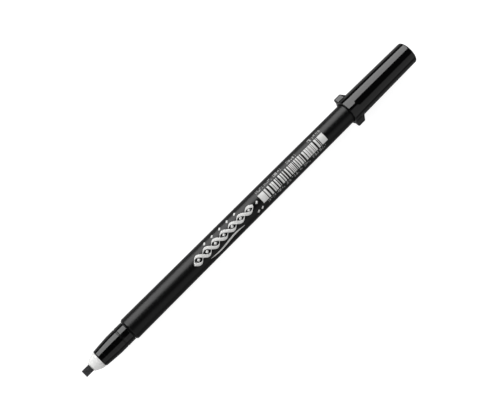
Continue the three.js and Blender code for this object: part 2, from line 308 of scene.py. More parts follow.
def noise_field(tree, place, size, detail=2.0, stretch=(1, 1, 1)):
    """Noise from 0 to 1 with features of a size in millimetres, drawn out by stretch along each axis."""
    scale = [per(size) / s for s in stretch]
    scaled = add(tree, "ShaderNodeMapping", {"Vector": place, "Scale": scale}).outputs["Vector"]
    inputs = {"Vector": scaled, "Scale": 1.0, "Detail": detail}
    return add(tree, "ShaderNodeTexNoise", inputs).outputs[0]


def ranged(tree, value, low, high, to_low, to_high):
    """A value moved from one range to another, and held inside it."""
    inputs = {"Value": value, "From Min": low, "From Max": high, "To Min": to_low, "To Max": to_high}
    return add(tree, "ShaderNodeMapRange", inputs).outputs["Result"]


def blended(tree, share, one, other):
    """A colour between two others."""
    mix = add(tree, "ShaderNodeMix", {"Factor": share}, data_type="RGBA")
    colour_inputs = {s.name: i for i, s in enumerate(mix.inputs) if s.type == "RGBA"}
    fill(tree, mix, {colour_inputs["A"]: one, colour_inputs["B"]: other})
    return next(s for s in mix.outputs if s.type == "RGBA")


def bumped(tree, shader, height, depth):
    """Bump on a shader, of a height field and its depth in millimetres."""
    bump = add(tree, "ShaderNodeBump", {"Height": height, "Distance": depth * MM})
    tree.links.new(bump.outputs["Normal"], shader.inputs["Normal"])


def tinted(colour, factor=1, lift=0):
    """A colour made darker or lighter, with full alpha."""
    return [c * factor + lift for c in colour[:3]] + [1]


def rubbed_edges(tree, place, size, low):
    """Where handling has worn the edges of a piece, in patches, from 0 to 1."""
    edge = add(tree, "ShaderNodeAttribute", attribute_name="edge").outputs["Fac"]
    return math_node(tree, "MULTIPLY", edge, ranged(tree, noise_field(tree, place, size), low, 0.7, 0, 1))


# ---- Materials ----


def matt_plastic(name, colour, roughness):
    """Matt black: fine spark-eroded grain, soft patches of handling shine, paler rubbed edges."""
    material, tree, shader, place = new_material(name)
    patches = noise_field(tree, place, 9, stretch=(2, 1, 1))
    rub = rubbed_edges(tree, place, 0.7, 0.4)
    mottled = blended(tree, patches, tinted(colour, 0.8), tinted(colour))
    fill(tree, shader, {
        "Base Color": blended(tree, rub, mottled, tinted(colour, 3, 0.012)),
        "Roughness": ranged(tree, patches, 0.3, 0.7, roughness + 0.03, roughness - 0.03),
        "Specular IOR Level": 0.33,
    })
    bumped(tree, shader, noise_field(tree, place, 0.16, detail=3), 0.0012)
    return material


def polished_plastic(name, colour, roughness):
    """Polished black: faint flow waves, hair scratches along the pen, duller rubbed edges."""
    material, tree, shader, place = new_material(name)
    waves = noise_field(tree, place, 5, stretch=(3, 1, 1))
    hairs = noise_field(tree, place, 0.05, detail=1, stretch=(60, 1, 1))
    scratch = ranged(tree, hairs, 0.72, 0.8, 0, 1)
    rub = rubbed_edges(tree, place, 0.5, 0.45)
    body = blended(tree, waves, tinted(colour, 0.85), tinted(colour))
    dull = math_node(tree, "MULTIPLY_ADD", math_node(tree, "MAXIMUM", rub, scratch), 0.12, roughness)
    fill(tree, shader, {
        "Base Color": blended(tree, rub, body, tinted(colour, 3, 0.01)),
        "Roughness": math_node(tree, "MULTIPLY_ADD", waves, 0.03, dull),
    })
    bumped(tree, shader, math_node(tree, "MULTIPLY_ADD", scratch, -0.2, waves), 0.0012)
    return material


def white_plastic(colour, ink):
    """Satin white, with the pen's ink drawn a little way back from the nib's slot."""
    material, tree, shader, place = new_material("white_plastic")
    along = add(tree, "ShaderNodeSeparateXYZ", {"Vector": place}).outputs["X"]
    creep = math_node(tree, "MULTIPLY_ADD", noise_field(tree, place, 0.5, detail=4), -0.7 * MM, along)
    stain = ranged(tree, creep, (CONE_TIP - 0.35) * MM, (CONE_TIP + 0.1) * MM, 0.55, 0)
    mottle = noise_field(tree, place, 2)
    clean = blended(tree, mottle, tinted(colour, 0.96), tinted(colour))
    fill(tree, shader, {
        "Base Color": blended(tree, stain, clean, tinted(ink)),
        "Roughness": ranged(tree, mottle, 0.3, 0.7, 0.34, 0.42),
        "Subsurface Weight": 0.5,
        "Subsurface Scale": 1.2 * MM,
        "Subsurface Radius": (1, 1, 1),
    })
    bumped(tree, shader, noise_field(tree, place, 0.2), 0.002)
    return material


def fibre(name, colour, size, depth):
    """Bundled fibres lying along the pen: streaks of tone and a rough, ridged surface."""
    material, tree, shader, place = new_material(name)
    strands = noise_field(tree, place, size, detail=3, stretch=(30, 1, 1))
    blots = noise_field(tree, place, 0.6, detail=3)
    dark = tinted(colour, 0.35)
    streaks = blended(tree, ranged(tree, strands, 0.3, 0.7, 0, 1), dark, tinted(colour, 2.2))
    fill(tree, shader, {
        "Base Color": blended(tree, ranged(tree, blots, 0.4, 0.75, 0, 0.6), streaks, dark),
        "Roughness": ranged(tree, blots, 0.3, 0.7, 0.9, 0.7),
        "Specular IOR Level": 0.3,
    })
    bumped(tree, shader, strands, depth)
    return material


def milky_plastic(name, colour, roughness):
    """Soft translucent polyethylene or film."""
    material, tree, shader, place = new_material(name)
    cloud = noise_field(tree, place, 1.5)
    fill(tree, shader, {
        "Base Color": blended(tree, cloud, tinted(colour, 0.93), tinted(colour)),
        "Roughness": ranged(tree, cloud, 0.3, 0.7, roughness, roughness + 0.06),
        "Subsurface Weight": 0.3,
        "Subsurface Scale": 0.5 * MM,
        "Subsurface Radius": (1, 1, 1),
    })
    bumped(tree, shader, noise_field(tree, place, 0.4), 0.003)
    return material


def print_ink(name, colour):
    """White pad-printed ink: slightly thin in places, with pinholes where the grain shows through."""
    material, tree, shader, place = new_material(name)
    thin = noise_field(tree, place, 0.9, detail=4)
    speck = noise_field(tree, place, 0.09)
    faded = ranged(tree, thin, 0.35, 0.75, 0.1, 0.6)
    worn = math_node(tree, "MULTIPLY", faded, ranged(tree, speck, 0.5, 0.7, 0, 1))
    fill(tree, shader, {
        "Base Color": blended(tree, worn, tinted(colour), tinted(colour, 0.45)),
        "Roughness": ranged(tree, thin, 0.3, 0.7, 0.42, 0.55),
    })
    bumped(tree, shader, speck, 0.003)
    return material


def floor_paper(colour, glow):
    """Matt pale paper, lit a little from beneath as on a light table."""
    material, tree, shader, place = new_material("floor_paper")
    fill(tree, shader, {
        "Base Color": blended(tree, noise_field(tree, place, 60), tinted(colour, 0.995), tinted(colour)),
        "Roughness": 0.95,
        "Specular IOR Level": 0.1,
        "Emission Color": (1, 1, 1, 1),
        "Emission Strength": glow,
    })
    return material


# ---- Settings ----

NIB_LOW, NIB_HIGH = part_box("chisel_nib")


def a_length(name, default, description):
    """A setting in the scene's unit of length."""
    return FloatProperty(name=name, description=description, default=default, unit="LENGTH")


def a_colour(name, default, description):
    """A setting of a colour."""
    return FloatVectorProperty(name=name, description=description, default=default, subtype="COLOR")


def a_roughness(name, default, description):
    """A setting from 0 for a mirror to 1 for chalk."""
    return FloatProperty(name=name, description=description, default=default, subtype="FACTOR")


def an_angle(name, degrees, description):
    """A setting of an angle."""
    default = math.radians(degrees)
    return FloatProperty(name=name, description=description, default=default, subtype="ANGLE")


class MarkerSizes(bpy.types.PropertyGroup):
    """Sizes that a user would change."""

    nib_width: a_length("Nib width", NIB_HIGH.y - NIB_LOW.y, "Width of the line the chisel nib draws")
    nib_thickness: a_length("Nib thickness", NIB_HIGH.z - NIB_LOW.z, "Thickness of the fibre bar")
    ink_height: a_length("Print thickness", 0.012 * MM, "How far the printed marks stand above the barrel")
    bar_count: IntProperty(
        name="Printed columns",
        description="Bars and gaps of the printed panel, an odd number",
        default=59,
    )
    print_seed: IntProperty(
        name="Print seed",
        description="Seed of the printed bars and dashes, which encode nothing",
        default=11,
    )
    stroke_width: a_length("Ornament nib", 0.95 * MM, "Width of the broad nib that draws the ornament")


class MarkerColours(bpy.types.PropertyGroup):
    """Colours and finishes that a user would change."""

    barrel: a_colour("Barrel", (0.0012, 0.0012, 0.0013), "Matt plastic of the barrel and its plug")
    gloss: a_colour("Gloss plastic", (0.0006, 0.0006, 0.0007), "Plastic of the cap and front section")
    cone: a_colour("Nib holder", (0.6, 0.6, 0.592), "White plastic that holds the nib")
    ink: a_colour("Ink", (0.02, 0.02, 0.021), "Ink in the nib and the reservoir")
    marks: a_colour("Print", (0.5, 0.5, 0.493), "Printed panel and ornament on the barrel")
    small_marks: a_colour("Small print", (0.24, 0.24, 0.237), "Thinner ink of the rows of dashes")
    liner: a_colour("Inner cap", (0.7, 0.72, 0.72), "Milky plastic of the inner cap")
    barrel_roughness: a_roughness("Barrel roughness", 0.34, "Roughness of the matt plastic")
    gloss_roughness: a_roughness("Gloss roughness", 0.08, "Roughness of the polished plastic")


class MarkerStage(bpy.types.PropertyGroup):
    """Camera and light settings."""

    distance: a_length("Camera distance", 330 * MM, "From the camera to the pen's axis")
    tilt: an_angle("Camera tilt", 9.2, "How far the camera leans from straight above, towards the nib")
    roll: an_angle("Camera roll", 44.89, "Angle of the pen in the picture")
    lens: FloatProperty(
        name="Focal length",
        description="Focal length on a 36 mm wide sensor, in millimetres",
        default=74.16,
    )
    floor: a_colour("Floor", (0.25, 0.25, 0.25), "Paper that the pen lies on")
    glow: FloatProperty(
        name="Floor glow",
        description="Light that comes through the paper from beneath",
        default=0.87,
    )


def sizes():
    """The scene's size settings."""
    return bpy.context.scene.marker_sizes


def colours():
    """The scene's colour settings."""
    return bpy.context.scene.marker_colours


def coat(piece, material):
    """Gives an object one material."""
    piece.data.materials.clear()
    piece.data.materials.append(material)


def settle(piece, body, material_slot, material, *nodes):
    """Gives a finished piece its material, its body and the CAD nodes that it stands for."""
    coat(piece, material)
    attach(piece, body)
    if nodes:
        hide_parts(*nodes)


def made_once(name, maker, *values):
    """A material of this script by its name, made at its first use."""
    return bpy.data.materials.get(name) or maker(name, *values)


def matt_black():
    """The plastic of the barrel and its plug."""
    return made_once("matt_black", matt_plastic, colours().barrel, colours().barrel_roughness)


def polished_black():
    """The plastic of the cap and the front section."""
    return made_once("polished_black", polished_plastic, colours().gloss, colours().gloss_roughness)


# ---- Barrel and tail plug ----


def barrel_radius(x):
    """The barrel's outer radius at a station."""
    return BARREL_RADIUS - TAPER * (x - SHOULDER)


class MARKER_OT_barrel(bpy.types.Operator):
    """Build the matt tapering barrel"""

    bl_idname = "marker.barrel"
    bl_label = "Barrel"

    def execute(self, context):
        outline = [
            (BARREL_FRONT, BORE_FRONT, 0.05),
            (BARREL_FRONT, SLEEVE_RADIUS + 0.02, 0.08),
            (SHOULDER, BARREL_RADIUS - 0.002, 0.3),
            (BARREL_REAR, BARREL_TAIL_RADIUS - 0.01, 0.14),
            (BARREL_REAR, BORE_REAR, 0.05),
        ]
        piece = turned("barrel_body", outline, closed=True, segments=192)
        settle(piece, "pen", "barrel_plastic", matt_black(), "barrel")
        return {"FINISHED"}


class MARKER_OT_tail_plug(bpy.types.Operator):
    """Build the plug that closes the barrel's rear end"""

    bl_idname = "marker.tail_plug"
    bl_label = "Tail plug"

    def execute(self, context):
        head = widest("tail_plug")
        head_front = BARREL_REAR + GAP
        spigot = BORE_REAR - FIT
        stem = radius_near("tail_plug", PLUG_FRONT)
        spigot_front = head_front - 7
        dimple = PLUG_REAR - 0.45
        outline = [
            (PLUG_FRONT, 0, 0),
            (PLUG_FRONT, stem, 0.2),
            (spigot_front, stem, 0.15),
            (spigot_front, spigot, 0.45),
            (head_front, spigot, 0.05),
            (head_front, head, 0.06),
            (PLUG_REAR, head, 0.4),
            (PLUG_REAR, 1.3, 0.12),
            (dimple, 1.05, 0.12),
            (dimple, 0, 0),
        ]
        piece = turned("tail_plug_body", outline, segments=128)
        settle(piece, "pen", "barrel_plastic", matt_black(), "tail_plug")
        return {"FINISHED"}


# ---- Front section, nib holder and nib ----


class MARKER_OT_front(bpy.types.Operator):
    """Build the glossy front section with its snap groove and bead"""

    bl_idname = "marker.front"
    bl_label = "Front section"

    def execute(self, context):
        groove = SLEEVE_FRONT + 9.1
        bead = groove + 0.65
        shoulder = BARREL_FRONT - GAP
        spigot = BORE_FRONT - FIT
        groove_floor = SLEEVE_RADIUS - 0.11
        outline = [
            (SLEEVE_FRONT, SLEEVE_BORE, 0.05),
            (SLEEVE_FRONT, SLEEVE_NOSE, 0.32),
            (SLEEVE_FRONT + 1.9, SLEEVE_NOSE + 0.17, 6),
            (SLEEVE_FRONT + 6, SLEEVE_RADIUS - 0.003, 5),
            (groove - 0.16, SLEEVE_RADIUS, 0.06),
            (groove - 0.07, groove_floor, 0.05),
            (groove + 0.07, groove_floor, 0.05),
            (groove + 0.16, SLEEVE_RADIUS, 0.06),
            (bead - 0.3, SLEEVE_RADIUS, 0.3),
            (bead, SLEEVE_RADIUS + 0.055, 0.4),
            (bead + 0.3, SLEEVE_RADIUS, 0.3),
            (shoulder, SLEEVE_RADIUS, 0.05),
            (shoulder, spigot, 0.05),
            (SLEEVE_REAR, spigot, 0.3),
            (SLEEVE_REAR, SLEEVE_BORE, 0.1),
        ]
        piece = turned("front_sleeve", outline, closed=True, segments=192, sharp=40)
        settle(piece, "pen", "gloss_black", polished_black(), "front_section")
        return {"FINISHED"}


class MARKER_OT_nib_holder(bpy.types.Operator):
    """Build the white cone that grips the nib, with its slot and its two air grooves"""

    bl_idname = "marker.nib_holder"
    bl_label = "Nib holder"

    def execute(self, context):
        base = SLEEVE_FRONT - GAP
        ring = base - 0.42
        tip_radius = radius_near("nib_holder", CONE_TIP + 0.3) - 0.2
        spigot = SLEEVE_BORE - FIT
        slot_slack = 0.09
        steps = 14
        outline = [(CONE_TIP, 0, 0), (CONE_TIP, tip_radius, 0.12)]
        for i in range(1, steps + 1):
            share = i / steps
            swell = 1 - (1 - share) ** 1.55
            outline.append((
                CONE_TIP + (ring - CONE_TIP) * share,
                tip_radius + (CONE_RADIUS - 0.07 - tip_radius) * swell,
                0.03 if i == steps else 0.4,
            ))
        outline += [
            (ring + 0.03, CONE_RADIUS - 0.14, 0.03),
            (ring + 0.12, CONE_RADIUS - 0.02, 0.05),
            (base, CONE_RADIUS, 0.06),
            (base, spigot, 0.05),
            (HOLDER_REAR, spigot, 0.4),
            (HOLDER_REAR, 0, 0),
        ]
        piece = turned("nib_cone", outline, segments=144, sharp=40)
        size = sizes()
        width = size.nib_width / MM + slot_slack
        thickness = size.nib_thickness / MM + slot_slack
        slot = bar("slot_cutter", CONE_TIP - 1, HOLDER_REAR + 1, width, thickness, 0.22)
        cut(piece, slot)
        for side in (-1, 1):
            groove = bar("groove_cutter", SLEEVE_FRONT + 1, HOLDER_REAR + 1, 0.8, 1, 0.15, side * spigot)
            cut(piece, groove)
        piece.data.set_sharp_from_angle(angle=math.radians(30))
        colour = colours()
        settle(piece, "pen", "white_plastic", white_plastic(colour.cone, colour.ink), "nib_holder")
        return {"FINISHED"}


def bar(name, front, rear, width, thickness, rounding, lift=0.0):
    """A straight bar along the axis, with rounded long edges."""
    section = bar_section(width, thickness, rounding)
    points = [(x, y, AXIS_Z + z + lift) for x in (front, rear) for y, z in section]
    count = len(section)
    rings = [list(range(count)), list(range(count, 2 * count))]
    faces = bridged(rings) + [rings[0], rings[1]]
    return finished_mesh(name, points, faces)


class MARKER_OT_nib(bpy.types.Operator):
    """Build the chisel nib of bonded fibre"""

    bl_idname = "marker.nib"
    bl_label = "Chisel nib"

    def execute(self, context):
        size = sizes()
        width = size.nib_width / MM
        thickness = size.nib_thickness / MM
        bevel = 0.8
        edge_thickness = thickness * 0.62
        wedge = 2.5
        fine = 70
        shown = CONE_TIP + 1 - NIB_TIP
        tip = NIB_TIP + 0.02
        stations = [(tip, share) for share in (0.25, 0.5, 0.75, 0.92)]
        stations += [(tip + shown * (i / fine) ** 1.3, 1) for i in range(fine + 1)]
        stations += [(NIB_REAR - wedge, 1), (NIB_REAR, 0.7)]
        points = [(tip, 0, AXIS_Z)]
        rings = [[0] * 4 * (CORNER_STEPS + 1)]
        for x, share in stations:
            along = min(1, (x - NIB_TIP) / bevel)
            tall = edge_thickness + (thickness - edge_thickness) * math.sin(along * math.pi / 2)
            corner = min(0.2, tall * 0.3)
            lip = 0.07 * max(0, 1 - (x - NIB_TIP) / 0.12)
            section = bar_section(width - 0.02 - lip, tall - lip, corner)
            rings.append(list(range(len(points), len(points) + len(section))))
            points += [(x, y * share, AXIS_Z + z * share) for y, z in section]
        faces = bridged(rings) + [rings[-1]]
        piece = finished_mesh("nib", points, faces, sharp=50)
        subdivide(piece, 2)
        ruffle(piece, 0.016)
        colour = colours()
        settle(piece, "pen", "inked_fibre", fibre("inked_fibre", colour.ink, 0.07, 0.02), "chisel_nib")
        return {"FINISHED"}


def subdivide(piece, levels):
    """Splits every face without smoothing the shape."""
    modifier = piece.modifiers.new("split", "SUBSURF")
    modifier.subdivision_type = "SIMPLE"
    modifier.levels = levels
    modifier.render_levels = levels
    keep_result(piece)


def ruffle(piece, depth):
    """Sinks the nib's surface here and there, in ridges along the fibres."""
    normals = [vertex.normal.copy() for vertex in piece.data.vertices]
    for vertex, normal in zip(piece.data.vertices, normals):
        place = vertex.co / MM
        ridges = noise.noise(Vector((place.x * 0.8, place.y * 11, place.z * 11)))
        vertex.co -= normal * depth * MM * (0.5 + 0.5 * ridges)


# ---- Reservoir and its film ----


class MARKER_OT_core(bpy.types.Operator):
    """Finish the ink reservoir and its film, which stay inside the barrel"""

    bl_idname = "marker.core"
    bl_label = "Reservoir"

    def execute(self, context):
        colour = colours()
        coat(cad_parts["ink_reservoir"], fibre("reservoir_fibre", colour.ink, 0.12, 0.03))
        coat(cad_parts["reservoir_film"], milky_plastic("clear_film", colour.liner, 0.15))
        return {"FINISHED"}


# ---- Cap ----


def winged_ring(middle, reach, crest=0.0, inset=0.0, count=160):
    """Points of the collar's outline: a round middle, a crest above, a fuller belly and two wings."""
    blend = 16  # how sharply a wing meets the round middle
    crowding = 0.18  # brings the points closer together towards the wings
    power = WING_SQUARENESS
    wing_reach = max(reach ** blend - middle ** blend, 0) ** (1 / blend)
    points = []
    for i in range(count):
        even = math.tau * i / count
        angle = even - crowding * math.sin(2 * even)
        y, z = math.cos(angle), math.sin(angle)
        across = min(1, abs(middle * y) / CREST_HALF_WIDTH)
        ridge = math.cos(math.pi / 2 * across) ** 2 if z > 0 else smooth(-z * middle / CREST_HALF_WIDTH)
        radius = middle + crest * ridge
        if wing_reach > 0:
            tall = WING_HALF_HEIGHT - inset
            wing = (abs(y / wing_reach) ** power + abs(z / tall) ** power) ** (-1 / power)
            radius = (radius ** blend + wing ** blend) ** (1 / blend)
        points.append((radius * y, radius * z))
    return points


def cap_radius(x):
    """The cap's outer radius behind its collar."""
    share = (x - CAP_NECK) / (CAP_END - CAP_NECK)
    return CAP_NECK_RADIUS + (CAP_END_RADIUS - CAP_NECK_RADIUS) * share


def collar_rings():
    """(x, middle, reach, crest, inset, edge) of the winged collar, from its lip to the cap's neck."""
    round_front = 0.35
    crest_top = CAP_LIP + 3.0
    crest_foot = CAP_LIP + 4.1
    wing_top = CAP_LIP + 2.6
    wing_foot = CAP_LIP + 4.1
    middle_top = CAP_BELLY - CREST_HEIGHT
    rings = []
    front_steps = 6
    for i in range(front_steps + 1):
        turn = math.pi / 2 * i / front_steps
        inset = round_front * (1 - math.sin(turn))
        x = CAP_LIP + round_front * (1 - math.cos(turn))
        rings.append((x, middle_top - inset, WING_REACH - inset, CREST_HEIGHT, inset, 1))
    steps = 34
    start = CAP_LIP + round_front
    for i in range(1, steps + 1):
        x = start + (CAP_NECK - start) * i / steps
        wing_drop = smooth((x - wing_top) / (wing_foot - wing_top), 0.18)
        crest_drop = smooth((x - crest_top) / (crest_foot - crest_top))
        neck = cap_radius(x)
        middle = middle_top + (neck - middle_top) * smooth((x - start) / (CAP_NECK - start))
        reach = WING_REACH + (neck - WING_REACH) * wing_drop
        rings.append((x, middle, max(reach, middle), CREST_HEIGHT * (1 - crest_drop), 0, 0))
    return rings


def smooth(share, corner=0.35):
    """A ramp from 0 to 1 with its two corners rounded over a share of its length."""
    share = min(1, max(0, share))
    top = 1 / (1 - corner)
    if share < corner:
        return top * share * share / (2 * corner)
    if share > 1 - corner:
        return 1 - top * (1 - share) ** 2 / (2 * corner)
    return top * (share - corner / 2)


def cap_outline():
    """(x, radius, edge) of the cap behind its collar, out to the middle of its end."""
    gate = 0.75  # radius of the moulding mark in the middle of the end
    gate_floor = CAP_END - 0.12
    outline = [
        (CAP_NECK, cap_radius(CAP_NECK), 0),
        (CAP_END, CAP_END_RADIUS, 0.45),
        (CAP_END, gate + 0.25, 0.1),
        (gate_floor, gate, 0.08),
        (gate_floor, 0, 0),
    ]
    return rounded(outline, closed=False)[1:]


def cap_inside():
    """(x, radius, edge) of the cap's hollow, from the middle of its inner end to its mouth."""
    wall = 0.5
    floor_x = CAP_END - 1.2
    seat_front = LINER_FRONT - GAP
    mouth = barrel_radius(CAP_LIP) + FIT
    outline = [
        (floor_x, 0, 0),
        (floor_x, cap_radius(CAP_END) - wall, 0.4),
        (seat_front, cap_radius(seat_front) - wall, 0.05),
        (seat_front - 0.2, barrel_radius(seat_front) + FIT, 0.05),
        (CAP_LIP + 0.35, mouth, 0.1),
        (CAP_LIP, mouth + 0.25, 0.08),
        (CAP_LIP, mouth + 0.5, 0),
    ]
    return rounded(outline, closed=False)[:-1]


class MARKER_OT_cap(bpy.types.Operator):
    """Build the glossy cap with its two anti-roll wings"""

    bl_idname = "marker.cap"
    bl_label = "Cap"

    def execute(self, context):
        outside = [(x, winged_ring(*shape), edge) for x, *shape, edge in collar_rings()]
        outside += [(x, winged_ring(radius, radius), edge) for x, radius, edge in cap_outline()]
        inside = [(x, winged_ring(radius, radius), edge) for x, radius, edge in cap_inside()]
        points, edges, rings = skin(outside + inside)
        outer, inner = rings[:len(outside)], rings[len(outside):]
        faces = bridged(outer) + bridged(inner) + bridged([inner[-1], outer[0]])
        piece = finished_mesh("cap", points, faces, edges)
        settle(piece, "cap", "gloss_black", polished_black(), "cap_shell")
        return {"FINISHED"}


class MARKER_OT_inner_cap(bpy.types.Operator):
    """Build the milky inner cap that seals the nib"""

    bl_idname = "marker.inner_cap"
    bl_label = "Inner cap"

    def execute(self, context):
        outer_front = radius_near("inner_cap", LINER_FRONT + 0.2)
        outer_rear = radius_near("inner_cap", LINER_REAR - 0.5)
        bore = radius_near("inner_cap", LINER_FRONT + 0.5, inner=True)
        floor_x = LINER_REAR - 0.6
        outline = [
            (floor_x, 0, 0),
            (floor_x, bore - 0.1, 0.7),
            (LINER_FRONT + 5, bore - 0.1, 5),
            (LINER_FRONT + 1.5, bore, 1),
            (LINER_FRONT + 0.9, bore - 0.06, 0.5),
            (LINER_FRONT + 0.5, bore, 0.3),
            (LINER_FRONT, bore + 0.15, 0.04),
            (LINER_FRONT, outer_front - 0.05, 0.08),
            (LINER_FRONT + 0.3, outer_front, 0.2),
            (LINER_REAR, outer_rear, 0.5),
            (LINER_REAR, 0, 0),
        ]
        piece = turned("inner_cap_body", outline, segments=128)
        material = milky_plastic("milky_plastic", colours().liner, 0.3)
        settle(piece, "cap", "milky_plastic", material, "inner_cap")
        return {"FINISHED"}


# ---- Printed marks ----
# Each mark is drawn flat, x along the pen and y down the barrel's side from its top line, and then
# wrapped round the barrel as a thin closed layer.


BURIED = 0.03 * MM  # how deep the layer of ink reaches into the barrel
FINE_ROWS = 4  # each row is split, so that it can bend round the barrel
CELL_STRIDE = 997  # more than the columns of any print, so that each cell has a number of its own


def geometry_tree(name, inputs):
    """A Geometry Nodes tree with named inputs, what they give, and a maker of its Math nodes."""
    tree = bpy.data.node_groups.new(name, "GeometryNodeTree")
    tree.interface.new_socket("Geometry", in_out="INPUT", socket_type="NodeSocketGeometry")
    tree.interface.new_socket("Geometry", in_out="OUTPUT", socket_type="NodeSocketGeometry")
    for label, kind in inputs:
        tree.interface.new_socket(label, in_out="INPUT", socket_type=f"NodeSocket{kind}")
    given = add(tree, "NodeGroupInput").outputs
    return tree, given, functools.partial(math_node, tree)


def position(tree):
    """X, Y and Z of each point."""
    place = add(tree, "GeometryNodeInputPosition").outputs[0]
    return add(tree, "ShaderNodeSeparateXYZ", {"Vector": place}).outputs


def vector(tree, **parts):
    """A vector of its X, Y and Z, each 0 unless it is given."""
    return add(tree, "ShaderNodeCombineXYZ", parts).outputs[0]


def random_number(tree, inputs):
    """A random number for each ID."""
    node = add(tree, "FunctionNodeRandomValue", inputs, data_type="FLOAT")
    return next(s for s in node.outputs if s.enabled)


def moved(tree, geometry, target):
    """A geometry with its points set to new positions."""
    inputs = {"Geometry": geometry, "Position": target}
    return add(tree, "GeometryNodeSetPosition", inputs).outputs["Geometry"]


def layer_and_wrap(tree, flat, given, calc):
    """Makes flat faces a layer of ink on the barrel, and ends the tree."""
    raised = add(tree, "GeometryNodeExtrudeMesh", {
        "Mesh": flat,
        "Offset": vector(tree, Z=calc("ADD", given["Ink height"], BURIED)),
        "Offset Scale": 1.0,
        "Individual": False,
    }).outputs["Mesh"]
    under = add(tree, "GeometryNodeFlipFaces", {"Mesh": flat}).outputs["Mesh"]
    both = add(tree, "GeometryNodeJoinGeometry")
    tree.links.new(under, both.inputs[0])
    tree.links.new(raised, both.inputs[0])
    weld = {"Geometry": both.outputs[0], "Distance": 0.001 * MM}
    welded = add(tree, "GeometryNodeMergeByDistance", weld).outputs["Geometry"]
    x, y, z = position(tree)
    from_front = calc("SUBTRACT", x, given["Taper start"])
    surface = calc("SUBTRACT", given["Radius"], calc("MULTIPLY", from_front, given["Taper"]))
    radius = calc("ADD", surface, calc("SUBTRACT", z, BURIED))
    angle = calc("DIVIDE", y, surface)
    across = calc("MULTIPLY", radius, calc("SINE", angle))
    height = calc("MULTIPLY", radius, calc("COSINE", angle))
    up = calc("ADD", height, given["Axis height"])
    placed = moved(tree, welded, vector(tree, X=x, Y=calc("MULTIPLY", across, -1.0), Z=up))
    real = add(tree, "GeometryNodeRealizeInstances", {"Geometry": placed}).outputs["Geometry"]
    inked = add(tree, "GeometryNodeSetMaterial", {"Geometry": real, "Material": given["Material"]})
    add(tree, "NodeGroupOutput", {"Geometry": inked.outputs["Geometry"]})


WRAP_INPUTS = [
    *((label, "Float") for label in ("Ink height", "Radius", "Taper", "Taper start", "Axis height")),
    ("Material", "Material"),
]
COLUMN_INPUTS = [
    *((label, "Int") for label in ("Columns", "Rows", "Word", "Seed")),
    *((label, "Float") for label in ("Start", "Length", "Top", "Height", "End block", "Printed share")),
]


def printed_columns_tree():
    """Columns of random width from end to end, every second one left blank, some cells unprinted."""
    tree, given, calc = geometry_tree("Printed columns", COLUMN_INPUTS + WRAP_INPUTS)
    columns = given["Columns"]
    fine_rows = calc("MULTIPLY", given["Rows"], FINE_ROWS)
    grid = add(tree, "GeometryNodeMeshGrid", {
        "Size X": columns,
        "Size Y": fine_rows,
        "Vertices X": calc("ADD", columns, 1),
        "Vertices Y": calc("ADD", fine_rows, 1),
    }).outputs["Mesh"]
    x, y, _ = position(tree)
    column = calc("FLOOR", calc("ADD", calc("MULTIPLY_ADD", columns, 0.5, x), 0.01))
    fine_row = calc("MULTIPLY_ADD", fine_rows, 0.5, y)
    row = calc("FLOOR", calc("MULTIPLY_ADD", fine_row, 1 / FINE_ROWS, 0.002))

    # Widths: whole modules at random, scaled to fill the length between the two end blocks.
    last = calc("SUBTRACT", columns, 1)
    past_first = calc("GREATER_THAN", column, 0.5)
    middle = calc("MULTIPLY", past_first, calc("LESS_THAN", column, calc("SUBTRACT", last, 0.5)))
    width = random_number(tree, {"Min": 0.5, "Max": 4.4, "ID": column, "Seed": given["Seed"]})
    share = calc("MULTIPLY", calc("ROUND", width), middle)
    line = calc("ROUND", calc("MULTIPLY", y, 2.0))
    sums = add(tree, "GeometryNodeAccumulateField", {"Value": share, "Group ID": line}, data_type="FLOAT")
    before = next(s for s in sums.outputs if s.name == "Trailing" and s.enabled)
    total = next(s for s in sums.outputs if s.name == "Total" and s.enabled)
    inner_length = calc("SUBTRACT", given["Length"], calc("MULTIPLY", given["End block"], 2.0))
    reach = calc("DIVIDE", calc("MULTIPLY", before, inner_length), total)
    passed = calc("ADD", past_first, calc("GREATER_THAN", column, calc("ADD", last, 0.5)))
    blocks = calc("MULTIPLY", passed, given["End block"])
    along = calc("ADD", calc("ADD", given["Start"], reach), blocks)
    depth = calc("ADD", calc("DIVIDE", y, fine_rows), 0.5)
    down = calc("MULTIPLY_ADD", depth, given["Height"], given["Top"])
    kept = add(tree, "GeometryNodeCaptureAttribute", {"Geometry": grid}, domain="POINT")
    kept.capture_items.new("VECTOR", "Target")
    tree.links.new(vector(tree, X=along, Y=down), kept.inputs["Target"])

    # Left blank: every second column, cells at random, and the last three columns of each word.
    cell = calc("MULTIPLY_ADD", row, CELL_STRIDE, column)
    chance = random_number(tree, {"ID": cell, "Seed": calc("ADD", given["Seed"], 1)})
    unprinted = calc("GREATER_THAN", chance, given["Printed share"])
    gap = calc("GREATER_THAN", calc("MODULO", column, 2.0), 0.5)
    in_word = calc("MODULO", column, given["Word"])
    pause = calc("GREATER_THAN", in_word, calc("SUBTRACT", given["Word"], 3.5))
    blank = calc("GREATER_THAN", calc("ADD", calc("ADD", gap, unprinted), pause), 0.5)
    unwanted = {"Geometry": kept.outputs["Geometry"], "Selection": blank}
    left = add(tree, "GeometryNodeDeleteGeometry", unwanted, domain="FACE").outputs["Geometry"]
    layer_and_wrap(tree, moved(tree, left, kept.outputs["Target"]), given, calc)
    return tree


